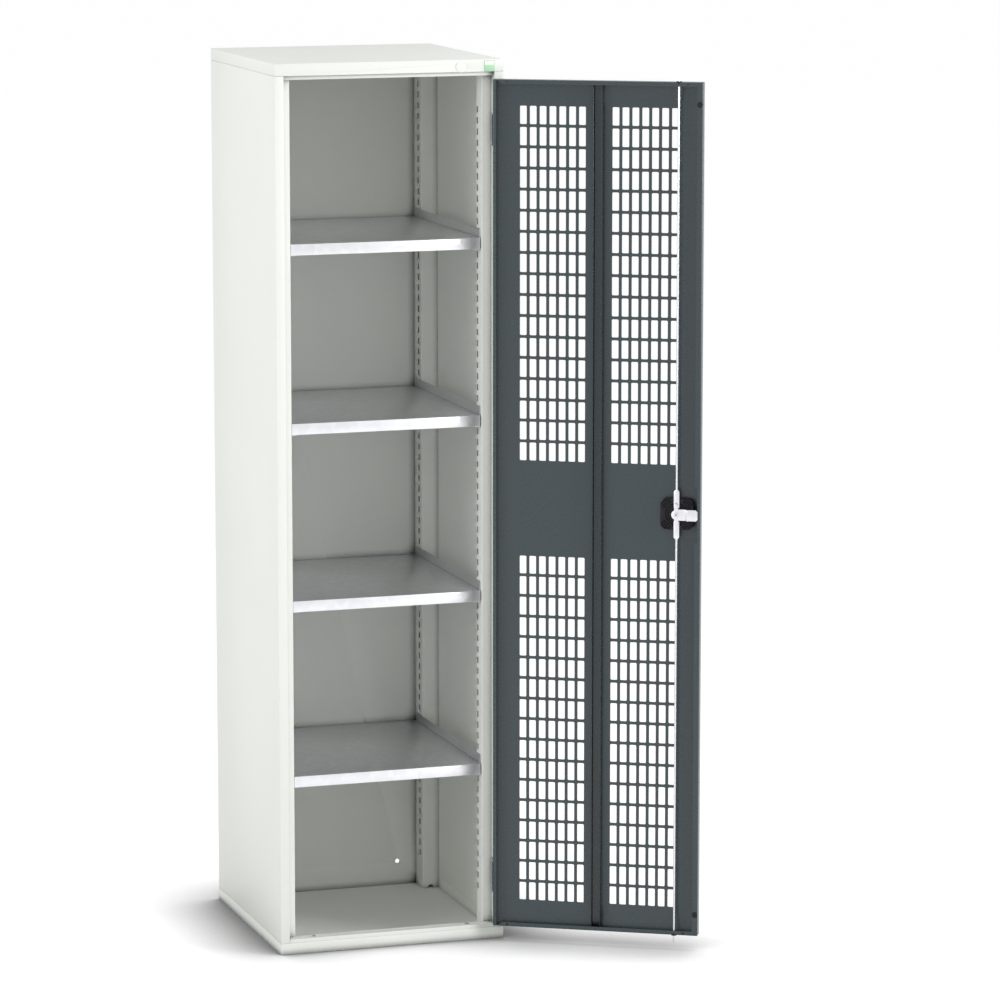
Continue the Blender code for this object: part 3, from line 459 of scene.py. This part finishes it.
def put_prism(bm, outline, normal, start, end):
    """Extrude an outline, given in the two other axes, along an axis."""
    def spot(a, b, c):
        return {AXIS_X: (c, a, b), AXIS_Y: (a, c, b), AXIS_Z: (a, b, c)}[normal]

    rows = [[bm.verts.new(spot(a, b, c)) for a, b in outline] for c in (start, end)]
    count = len(outline)
    faces = [bm.faces.new(rows[0][::-1]), bm.faces.new(rows[1])]
    for k in range(count):
        after = (k + 1) % count
        faces.append(bm.faces.new((rows[0][k], rows[0][after], rows[1][after], rows[1][k])))
    bmesh.ops.recalc_face_normals(bm, faces=faces)


def put_cut(bm, outline, normal, level):
    """Add a prism that cuts through a sheet at a level along an axis."""
    put_prism(bm, outline, normal, level - OVER, level + OVER)


def round_rect(cx, cy, width, height, radius, steps=3):
    """Return a rounded rectangle's outline."""
    points = []
    for k, (sx, sy) in enumerate(((1, 1), (-1, 1), (-1, -1), (1, -1))):
        x = cx + sx * (width / 2 - radius)
        y = cy + sy * (height / 2 - radius)
        for step in range(steps + 1):
            angle = math.pi / 2 * (k + step / steps)
            points.append((x + radius * math.cos(angle), y + radius * math.sin(angle)))
    return points


def circle(cx, cy, radius, steps=24):
    """Return a circle's outline."""
    return [(cx + radius * math.cos(math.tau * k / steps),
             cy + radius * math.sin(math.tau * k / steps)) for k in range(steps)]


def round_path(path, radius, steps=4):
    """Return a path with its corners rounded, for a folded sheet's outer face."""
    points = [Vector(path[0])]
    for before, corner, after in zip(path, path[1:], path[2:]):
        corner = Vector(corner)
        back = (Vector(before) - corner).normalized()
        ahead = (Vector(after) - corner).normalized()
        centre = corner + (back + ahead) * radius
        for step in range(steps + 1):
            angle = math.pi / 2 * step / steps
            offset = -ahead * math.cos(angle) - back * math.sin(angle)
            points.append(centre + offset * radius)
    points.append(Vector(path[-1]))
    return points


def folded(name, path, start, length, radius):
    """Fold a sheet along a path in plan, upwards; its metal lies on the path's left."""
    bm = bmesh.new()
    row = [bm.verts.new((x, y, start)) for x, y in round_path(path, radius)]
    top = [bm.verts.new((vert.co.x, vert.co.y, start + length)) for vert in row]
    for a, b, c, d in zip(row, row[1:], top[1:], top):
        bm.faces.new((a, b, c, d))
    obj = add_mesh(name, bm)
    solid = obj.modifiers.new("Sheet", "SOLIDIFY")
    solid.thickness = SHEET
    solid.offset = -1.0
    solid.use_even_offset = True
    settle(obj)
    return obj


def lathe(bm, profile, steps=64, closed=False):
    """Turn a profile about the Y axis."""
    rings = []
    for radius, height in profile:
        if radius <= 0:
            rings.append([bm.verts.new((0, height, 0))])
        else:
            rings.append([bm.verts.new((radius * math.cos(math.tau * k / steps), height,
                                        radius * math.sin(math.tau * k / steps)))
                          for k in range(steps)])
    pairs = list(zip(rings, rings[1:]))
    if closed:
        pairs.append((rings[-1], rings[0]))
    faces = []
    for first, second in pairs:
        for k in range(steps):
            after = (k + 1) % steps
            if len(first) == 1:
                faces.append(bm.faces.new((first[0], second[after], second[k])))
            elif len(second) == 1:
                faces.append(bm.faces.new((first[k], first[after], second[0])))
            else:
                faces.append(bm.faces.new((first[k], first[after], second[after], second[k])))
    bmesh.ops.recalc_face_normals(bm, faces=faces)


def softened(profile, width, closed):
    """Chamfer a profile's corners in two small steps each, but not an open one's ends."""
    count = len(profile)
    points = []
    for k, corner in enumerate(profile):
        corner = Vector(corner)
        if not closed and k in (0, count - 1):
            points.append(tuple(corner))
            continue
        back = Vector(profile[k - 1]) - corner
        ahead = Vector(profile[(k + 1) % count]) - corner
        cut = min(width, back.length * CHAMFER_SHARE, ahead.length * CHAMFER_SHARE)
        before = corner + back.normalized() * cut
        after = corner + ahead.normalized() * cut
        middle = corner.lerp((before + after) / 2, CHAMFER_DEPTH)
        points += [tuple(before), tuple(middle), tuple(after)]
    return points


def add_lathe(node, profile, matrix, width=TURNED_EDGE, closed=False, steps=64):
    """Make a turned piece that stands for a node."""
    bm = bmesh.new()
    lathe(bm, softened(profile, width, closed), steps, closed)
    dress(add_mesh(node + "_form", bm, matrix), node)


def cut_seam(panel, node):
    """Cut the seam low on a side panel's outer face."""
    low, high = node_box(node)
    face = high.x if high.x > 0 else low.x
    bm = bmesh.new()
    put_box(bm, (face - SEAM_DEPTH, low.y - OVER, low.z - OVER),
            (face + SEAM_DEPTH, high.y + OVER, low.z + SEAM))
    combine(panel, bm)


def shape_tongue(cam):
    """Give the latch tongue its crease and its sloped nose."""
    half = TONGUE_H / 2
    bm = bmesh.new()
    put_box(bm, (CREASE[0], TONGUE_TOP - CREASE_DEPTH, -half - OVER),
            (CREASE[1], TONGUE_TOP + OVER, half + OVER))
    for sign in (1, -1):
        outline = [(TONGUE_TOP - NOSE_DEPTH, sign * (half + NOSE_SIDE)),
                   (TONGUE_TOP + NOSE_RISE, sign * (half + NOSE_SIDE)),
                   (TONGUE_TOP + NOSE_RISE, sign * (half - NOSE_WIDTH))]
        put_prism(bm, outline, AXIS_X, *NOSE)
    bm.transform(HUB)
    combine(cam, bm)


def soften_nodes():
    """Replace folded, flat and cast nodes by copies with softened edges."""
    widths = {"top_tray": FOLD_EDGE, "bottom_tray": FOLD_EDGE, "side_panel_left": FOLD_EDGE,
              "side_panel_right": FOLD_EDGE, "top_rail": RAIL_EDGE, "sill_rail": RAIL_EDGE,
              "centre_stiffener": RAIL_EDGE, "back_panel": BACK_EDGE, "lock_cam": THIN_EDGE,
              "fascia_label": LABEL_EDGE, "turn_handle": RAIL_EDGE}
    for node in SLOTS:
        if node.startswith("shelf"):
            widths[node] = FOLD_EDGE
        if node.startswith(("bracket", "hinge_frame_leaf", "hinge_door_leaf")):
            widths[node] = THIN_EDGE
    for node, width in widths.items():
        bm = bmesh.new()
        bm.from_mesh(frame["nodes"][node].data)
        bmesh.ops.remove_doubles(bm, verts=bm.verts[:], dist=MERGE_REACH)
        bmesh.ops.dissolve_limit(bm, angle_limit=math.radians(FLAT_ANGLE), verts=bm.verts[:],
                                 edges=bm.edges[:])
        obj = add_mesh(node + "_form", bm)
        if node.startswith("side_panel"):
            cut_seam(obj, node)
        if node == "lock_cam":
            shape_tongue(obj)
        dress(obj, node, width)


def cut_slots(post, web, slot_y, first, count, strike):
    """Cut a post's row of slots and, in one post, the strike slot."""
    bm = bmesh.new()
    for k in range(count):
        z = SLOT_FIRST + SLOT_PITCH * (k + first) + SLOT_H / 2
        outline = round_rect(slot_y - HALF_DEPTH, z, SLOT_W, SLOT_H, SLOT_CORNER, steps=4)
        put_cut(bm, outline, AXIS_X, web)
    if strike:
        y0, y1, z0, z1 = STRIKE_SLOT
        put_cut(bm, round_rect((y0 + y1) / 2 - HALF_DEPTH, (z0 + z1) / 2, y1 - y0, z1 - z0,
                               STRIKE_CORNER), AXIS_X, web)
    combine(post, bm)


def build_posts():
    """Make the posts, with round bends and round-cornered slots."""
    for label, slot_y, first, count in POST_ROWS:
        for side, sign in (("left", -1), ("right", 1)):
            node = f"post_{label}_{side}"
            low, high = node_box(node)
            web = high.x if sign < 0 else low.x
            wall = low.x if sign < 0 else high.x
            path = [(wall, low.y), (web, low.y), (web, high.y), (wall, high.y)]
            if sign > 0:
                path.reverse()
            post = folded(node + "_form", path, low.z, high.z - low.z, POST_BEND)
            cut_slots(post, web, slot_y, first, count, node == "post_front_left")
            if label == "rear":
                bm = bmesh.new()
                put_cut(bm, circle((web + wall) / 2, low.z, FOOT_NOTCH_R, 32), AXIS_Y, low.y)
                combine(post, bm)
            dress(post, node)


def cut_mouth(door):
    """Open the door's inner side, slope its end lips at the hinge and notch its latch lip."""
    level, top = DOOR_H / 2, DOOR_H + OVER
    bm = bmesh.new()
    put_box(bm, at(DOOR_W - LATCH_LIP, level, DOOR_Z0 + END_LIP),
            at(HINGE_LIP, top, DOOR_Z1 - END_LIP), MOUTH_CORNER, 2, AXIS_Y)
    combine(door, bm)
    bm = bmesh.new()
    for edge, inward in ((DOOR_Z0, 1), (DOOR_Z1, -1)):
        outer, inner = edge + inward * DOOR_BEND, edge + inward * (END_LIP + OVER)
        corners = [(HINGE_LIP, outer), (LIP_END_FOOT, outer), (LIP_END_TOP, inner),
                   (HINGE_LIP, inner)]
        outline = [(-EDGE_GAP - s, z) for s, z in corners]
        put_prism(bm, outline, AXIS_Y, SKIN_Y + level, SKIN_Y + DOOR_H + OVER)
    combine(door, bm)
    bm = bmesh.new()
    put_box(bm, at(DOOR_W - NOTCH_NEAR, level, DOOR_MID - NOTCH_H / 2),
            at(DOOR_W - NOTCH_FAR, top, DOOR_MID + NOTCH_H / 2), NOTCH_CORNER, 2, AXIS_Y)
    combine(door, bm)


def cut_vents(door):
    """Cut the door's four fields of vent slots."""
    bm = bmesh.new()
    for column in range(VENT_COLUMNS):
        offset = VENT_SIDE + column * VENT_PITCH_S + VENT_W / 2
        for s in (offset, DOOR_W - offset):
            for row in range(VENT_ROWS):
                rise = VENT_END + row * VENT_PITCH_Z + VENT_H / 2
                for z in (DOOR_Z0 + rise, DOOR_Z1 - rise):
                    outline = round_rect(-EDGE_GAP - s, z, VENT_W, VENT_H, VENT_CORNER)
                    put_cut(bm, outline, AXIS_Y, SKIN_Y)
    combine(door, bm)


def cut_door_holes(door):
    """Cut the holes for the dish, the bump stops and the rods, and those in the end lips."""
    bm = bmesh.new()
    hub = at(HUB_S, 0, DOOR_MID)
    put_cut(bm, circle(hub.x, hub.z, DISH_HOLE_R, 64), AXIS_Y, SKIN_Y)
    for s in (LIP_HOLE_SIDE, DOOR_W - LIP_HOLE_SIDE):
        for z in (DOOR_Z0 + END_LIP / 2, DOOR_Z1 - END_LIP / 2):
            spot = at(s, DOOR_H, z)
            put_cut(bm, circle(spot.x, spot.z, LIP_HOLE_R), AXIS_Y, spot.y)
    for z in (DOOR_Z0 + STOP_END, DOOR_Z1 - STOP_END):
        spot = at(DOOR_W - LATCH_LIP / 2, DOOR_H, z)
        put_cut(bm, circle(spot.x, spot.z, STOP_HOLE_R), AXIS_Y, spot.y)
    for z in (DOOR_Z0, DOOR_Z1):
        spot = at(HUB_S, ROD_LEVEL, z)
        put_cut(bm, circle(spot.x, spot.y, GUIDE_HOLE_R), AXIS_Z, z)
    combine(door, bm)


def build_door():
    """Make the door pan with round-cornered vents and softened folds."""
    node = "door_panel"
    low, high = at(DOOR_W, 0, DOOR_Z0), at(0, DOOR_H, DOOR_Z1)
    bm = bmesh.new()
    put_box(bm, low, high, DOOR_BEND)
    door = add_mesh(node + "_form", bm)
    inset = Vector((SHEET,) * 3)
    bm = bmesh.new()
    put_box(bm, low + inset, high - inset, DOOR_INNER_BEND, 2)
    combine(door, bm)
    cut_mouth(door)
    cut_vents(door)
    cut_door_holes(door)
    door.data.transform(DOOR)
    dress(door, node)


def build_lock_turned():
    """Make the lock's round pieces, about its hub."""
    add_lathe("lock_dish", DISH_PROFILE, HUB, DISH_EDGE, closed=True, steps=96)
    add_lathe("key_plug", KEY_PROFILE, HUB)
    add_lathe("lock_spindle", SPINDLE_PROFILE, HUB)
    add_lathe("cam_screw", SCREW_PROFILE, HUB, SCREW_EDGE)


def build_stops():
    """Make the bump stops on the latch lip."""
    for label, z in (("lower", DOOR_Z0 + STOP_END), ("upper", DOOR_Z1 - STOP_END)):
        place = DOOR @ Matrix.Translation(at(DOOR_W - LATCH_LIP / 2, DOOR_H, z))
        add_lathe(f"bump_stop_{label}", STOP_PROFILE, place, STOP_EDGE, steps=48)


def build_fascia_blank():
    """Make the round blank on the fascia."""
    low, high = node_box("fascia_blank")
    place = Matrix.Translation(((low.x + high.x) / 2, -HALF_DEPTH, (low.z + high.z) / 2))
    add_lathe("fascia_blank", BLANK_PROFILE, place, BLANK_EDGE)


def build_hinge_pins():
    """Make the two hinge pins."""
    for label, z in (("lower", DOOR_Z0 + HINGE_END), ("upper", DOOR_Z1 - HINGE_END)):
        place = Matrix.Translation((PIN.x, PIN.y, z)) @ UP
        add_lathe(f"hinge_pin_{label}", PIN_PROFILE, place, steps=32)


def flat_outline(far):
    """Return the outline of a rod's flattened end in x and z, with the hub at minus far."""
    start, end, half = FLAT_START - far, FLAT_END - far, FLAT_W / 2
    return [(-half, start + FLAT_CORNER), (FLAT_CORNER - half, start),
            (half - FLAT_CORNER, start), (half, start + FLAT_CORNER), (half, end - FLAT_TAPER),
            (FLAT_NECK, end), (-FLAT_NECK, end), (-half, end - FLAT_TAPER)]


def build_rods():
    """Make the guide bushes and the rods with their flattened ends."""
    far = DOOR_MID - DOOR_Z0
    for label, z, turn in (("upper", DOOR_Z1, 0.0), ("lower", DOOR_Z0, math.pi)):
        base = (DOOR @ Matrix.Translation(at(HUB_S, ROD_LEVEL, z))
                @ Matrix.Rotation(turn, 4, "X"))
        add_lathe(f"{label}_rod_guide", GUIDE_PROFILE, base @ UP, closed=True, steps=48)
        node = f"{label}_rod"
        bm = bmesh.new()
        lathe(bm, [*ROD_TIP, *((radius, height - far) for radius, height in ROD_ROOT)], 32)
        rod = add_mesh(node + "_form", bm, UP)
        bm = bmesh.new()
        put_prism(bm, flat_outline(far), AXIS_Y, -FLAT_T / 2, FLAT_T / 2)
        combine(rod, bm, "UNION")
        rod.data.transform(base)
        dress(rod, node, TURNED_EDGE)


def cut_turned(cover, profile, steps):
    """Cut a turned form from the lock's cover."""
    bm = bmesh.new()
    lathe(bm, profile, steps)
    combine(cover, bm)


def build_housing():
    """Make the lock's cover: a rounded block with ring grooves and channelled corners."""
    node = "lock_housing"
    across, up, above = HOUSING_W / 2, HOUSING_H / 2, HOUSING_TOP + OVER
    bm = bmesh.new()
    put_box(bm, (-across, HOUSING_BOTTOM, -up), (across, HOUSING_TOP, up), HOUSING_CORNER, 5,
            AXIS_Y)
    cover = add_mesh(node + "_form", bm)
    cut_turned(cover, [(0, -OVER), (CUP_R, -OVER), (CUP_R, CUP_TOP), (0, CUP_TOP)], 64)
    cut_turned(cover, [(0, BORE_BOTTOM), (BORE_R, BORE_BOTTOM), (BORE_R, above), (0, above)],
               32)
    bm = bmesh.new()
    for inner, outer in GROOVES:
        lathe(bm, [(inner, RELIEF_FLOOR), (outer, RELIEF_FLOOR), (outer, above),
                   (inner, above)], 96, True)
    combine(cover, bm)
    bm = bmesh.new()
    for quarter in range(4):
        turn = Matrix.Rotation(math.pi / 4 + math.pi / 2 * quarter, 4, "Y")
        for reach in CHANNELS:
            before = len(bm.verts)
            put_box(bm, (reach, RELIEF_FLOOR, -CHANNEL_L / 2),
                    (reach + CHANNEL_W, above, CHANNEL_L / 2))
            bmesh.ops.transform(bm, matrix=turn, verts=bm.verts[:][before:])
    combine(cover, bm)
    cover.data.transform(HUB)
    dress(cover, node, TURNED_EDGE)


def seen_directly(nodes, links):
    """Return 1 on rays from the camera, a reflection or glass, and 0 on the rest."""
    path = nodes.new("ShaderNodeLightPath")
    source = path.outputs["Is Camera Ray"]
    for name in ("Is Glossy Ray", "Is Transmission Ray"):
        source = add_math(nodes, links, "MAXIMUM", source, path.outputs[name])
    return source


def make_floor():
    """Make the pale floor, with a painted shadow that darkens its colour and glow close to the
    object.
    """
    bm = bmesh.new()
    bmesh.ops.create_grid(bm, x_segments=1, y_segments=1, size=FLOOR_SIZE)
    floor = add_mesh("floor", bm)
    material = bpy.data.materials.new("pale_floor")
    nodes, links, shader = node_group(material)
    shader.inputs["Roughness"].default_value = 0.9
    shader.inputs["Specular IOR Level"].default_value = 0.0
    shader.inputs["Emission Color"].default_value = (1, 1, 1, 1)
    # Painted shadow: ambient occlusion darkens the floor's colour and its glow close to the
    # object.
    shadow_probe = nodes.new("ShaderNodeAmbientOcclusion")
    shadow_probe.inputs["Distance"].default_value = SHADOW_REACH
    share = add_range(nodes, links, shadow_probe.outputs["AO"], SHADOW_OPEN, 1.0, SHADOW_SHARE)
    colour = nodes.new("ShaderNodeVectorMath")
    colour.operation = "SCALE"
    colour.inputs[0].default_value = FLOOR_COLOUR
    links.new(share.outputs["Result"], colour.inputs["Scale"])
    links.new(colour.outputs["Vector"], shader.inputs["Base Color"])
    shown = add_math(nodes, links, "MULTIPLY", share.outputs["Result"],
                     seen_directly(nodes, links))
    glow = add_math(nodes, links, "MULTIPLY", shown, FLOOR_GLOW)
    links.new(glow, shader.inputs["Emission Strength"])
    floor.data.materials.append(material)


def make_world():
    """Make the white background, which lights the object more from the horizon."""
    world = bpy.data.worlds.new("studio")
    bpy.context.scene.world = world
    world.use_nodes = True
    nodes, links = world.node_tree.nodes, world.node_tree.links
    background = nodes["Background"]
    background.inputs["Color"].default_value = (1, 1, 1, 1)
    coords = nodes.new("ShaderNodeTexCoord")
    height = nodes.new("ShaderNodeSeparateXYZ")
    links.new(coords.outputs["Generated"], height.inputs["Vector"])
    sky = add_range(nodes, links, height.outputs["Z"], 0.0, 1.0, HORIZON, ZENITH)
    strength = add_range(nodes, links, seen_directly(nodes, links), 0.0, 1.0)
    links.new(sky.outputs["Result"], strength.inputs["To Min"])
    links.new(strength.outputs["Result"], background.inputs["Strength"])


def make_lamps():
    """Make the soft lamps, which add a little to the sky's light."""
    for name, place, size, power, target in LAMPS:
        data = bpy.data.lights.new(name, "AREA")
        data.shape = "RECTANGLE"
        data.size, data.size_y = size
        data.energy = power
        lamp = bpy.data.objects.new(name, data)
        bpy.context.scene.collection.objects.link(lamp)
        lamp.location = place
        aim = Vector(target) - Vector(place)
        lamp.rotation_euler = aim.to_track_quat("-Z", "Y").to_euler()


def make_camera():
    """Make the camera."""
    data = bpy.data.cameras.new("camera")
    data.lens = CAMERA_LENS
    data.sensor_width = CAMERA_SENSOR
    data.clip_end = CAMERA_FAR
    camera = bpy.data.objects.new("camera", data)
    bpy.context.scene.collection.objects.link(camera)
    camera.location = CAMERA_PLACE
    camera.rotation_euler = (math.radians(90 - CAMERA_DOWN), 0, -math.radians(CAMERA_ASIDE))
    bpy.context.scene.camera = camera


make_camera()
soften_nodes()
build_posts()
build_door()
build_lock_turned()
build_stops()
build_fascia_blank()
build_hinge_pins()
build_rods()
build_housing()
make_floor()
make_world()
make_lamps()

bpy.context.scene.view_settings.view_transform = "Standard"
